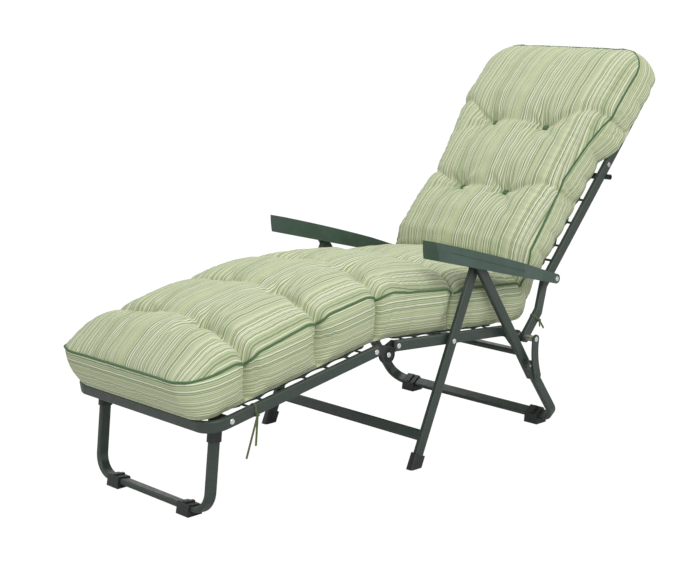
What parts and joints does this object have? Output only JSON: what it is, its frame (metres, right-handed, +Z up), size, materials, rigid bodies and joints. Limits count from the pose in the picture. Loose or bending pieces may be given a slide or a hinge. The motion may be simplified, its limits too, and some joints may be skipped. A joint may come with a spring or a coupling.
{
  "type": "sun lounger",
  "caption": "Folding sun lounger with a flat tube frame, reclining back, hinged footrest, notched armrests, canvas slings and a thick buttoned cushion",
  "frame": {"origin": "on the floor, at the middle of the whole lounger's length and width as it stands open", "axes": "+Z up, +X towards the head end, +Y across the lounger to the sitter's right"},
  "size_m": [1.81, 0.673, 1.0837],
  "materials": {
    "frame": "semi-gloss dark green powder coat on steel tube",
    "black": "moulded black plastic",
    "rack": "moulded black plastic",
    "rivet": "zinc plated steel",
    "armrest": "moulded dark green plastic with a fine texture",
    "canvas": "dark green woven canvas",
    "elastic": "dark elastic strap",
    "cushion": "pale green and cream striped cotton",
    "trim": "darker green cotton of the piping and buttons",
    "tie": "olive cotton tape"
  },
  "bodies": {
    "seat": {"seat_rail_left": "frame", "seat_rail_right": "frame", "seat_rear_tube": "frame", "hip_plate_left": "frame", "hip_plate_right": "frame", "hip_axles": "rivet", "knee_hub_rear_left": "black", "knee_hub_rear_right": "black", "seat_rivets": "rivet", "seat_sling": "canvas", "seat_elastics": "elastic", "seat_cushion": "cushion"},
    "footrest": {"footrest_frame": "frame", "knee_hub_front_left": "black", "knee_hub_front_right": "black", "footrest_rivets": "rivet", "footrest_sling": "canvas", "footrest_elastics": "elastic", "footrest_cushion": "cushion", "front_tie_left": "tie", "front_tie_right": "tie"},
    "foot_leg": {"foot_leg_frame": "frame", "foot_socket_left": "black", "foot_socket_right": "black", "foot_clip_left": "black", "foot_clip_right": "black"},
    "front_legs": {"front_leg_left": "frame", "front_leg_right": "frame", "front_crossbar": "frame", "front_boot_left": "black", "front_boot_right": "black", "rack_pins": "rivet"},
    "rear_leg": {"rear_strut_left": "frame", "rear_strut_right": "frame", "rear_bow": "frame", "rear_rivets": "rivet", "rear_clip_left": "black", "rear_clip_right": "black"},
    "link_left": {"link_left": "frame"},
    "link_right": {"link_right": "frame"},
    "backrest": {"back_frame": "frame", "back_lower_left": "frame", "back_lower_right": "frame", "back_brace": "frame", "back_rivets": "rivet", "back_sling": "canvas", "back_elastics": "elastic", "back_cushion": "cushion", "cushion_buttons": "trim", "rear_tie_left": "tie", "rear_tie_right": "tie"},
    "armrest_left": {"armrest_left": "armrest", "arm_rack_left": "rack"},
    "armrest_right": {"armrest_right": "armrest", "arm_rack_right": "rack"}
  },
  "joints": [
    {"name": "backrest_recline", "type": "hinge", "parent": "seat", "child": "backrest", "pos_m": [0.2862, 0.292, 0.284], "axis": [0, 1, 0], "range_deg": [0, 40]},
    {"name": "armrest_left_tilt", "type": "hinge", "parent": "backrest", "child": "armrest_left", "pos_m": [0.4052, -0.305, 0.438], "axis": [0, 1, 0], "range_deg": [-30, 0.5]},
    {"name": "armrest_right_tilt", "type": "hinge", "parent": "backrest", "child": "armrest_right", "pos_m": [0.4052, 0.305, 0.438], "axis": [0, 1, 0], "range_deg": [-30, 0.5]},
    {"name": "leg_fold", "type": "hinge", "parent": "seat", "child": "front_legs", "pos_m": [-0.0228, 0.292, 0.325], "axis": [0, -1, 0], "range_deg": [0, 90]},
    {"name": "rear_leg_fold", "type": "hinge", "parent": "front_legs", "child": "rear_leg", "pos_m": [0.0652, 0.3075, 0.521], "axis": [0, -1, 0], "range_deg": [-53, 0.5]},
    {"name": "link_left_turn", "type": "hinge", "parent": "seat", "child": "link_left", "pos_m": [0.2862, -0.333, 0.284], "axis": [0, -1, 0], "range_deg": [-98.5, 0.5]},
    {"name": "link_right_turn", "type": "hinge", "parent": "seat", "child": "link_right", "pos_m": [0.2862, 0.333, 0.284], "axis": [0, -1, 0], "range_deg": [-98.5, 0.5]},
    {"name": "footrest_knee", "type": "hinge", "parent": "seat", "child": "footrest", "pos_m": [-0.2588, 0.279, 0.326], "axis": [0, 1, 0], "range_deg": [0, 45], "deforming": ["footrest_cushion"]},
    {"name": "foot_leg_fold", "type": "hinge", "parent": "footrest", "child": "foot_leg", "pos_m": [-0.7888, 0.221, 0.258], "axis": [0, -1, 0], "range_deg": [0, 85]}
  ],
  "couplings": [
    {"joint": "armrest_left_tilt", "follows": "backrest_recline", "ratio": -0.71},
    {"joint": "armrest_right_tilt", "follows": "backrest_recline", "ratio": -0.71},
    {"joint": "rear_leg_fold", "follows": "leg_fold", "ratio": -0.5761},
    {"joint": "link_left_turn", "follows": "leg_fold", "ratio": -1.08},
    {"joint": "link_right_turn", "follows": "leg_fold", "ratio": -1.08}
  ]
}
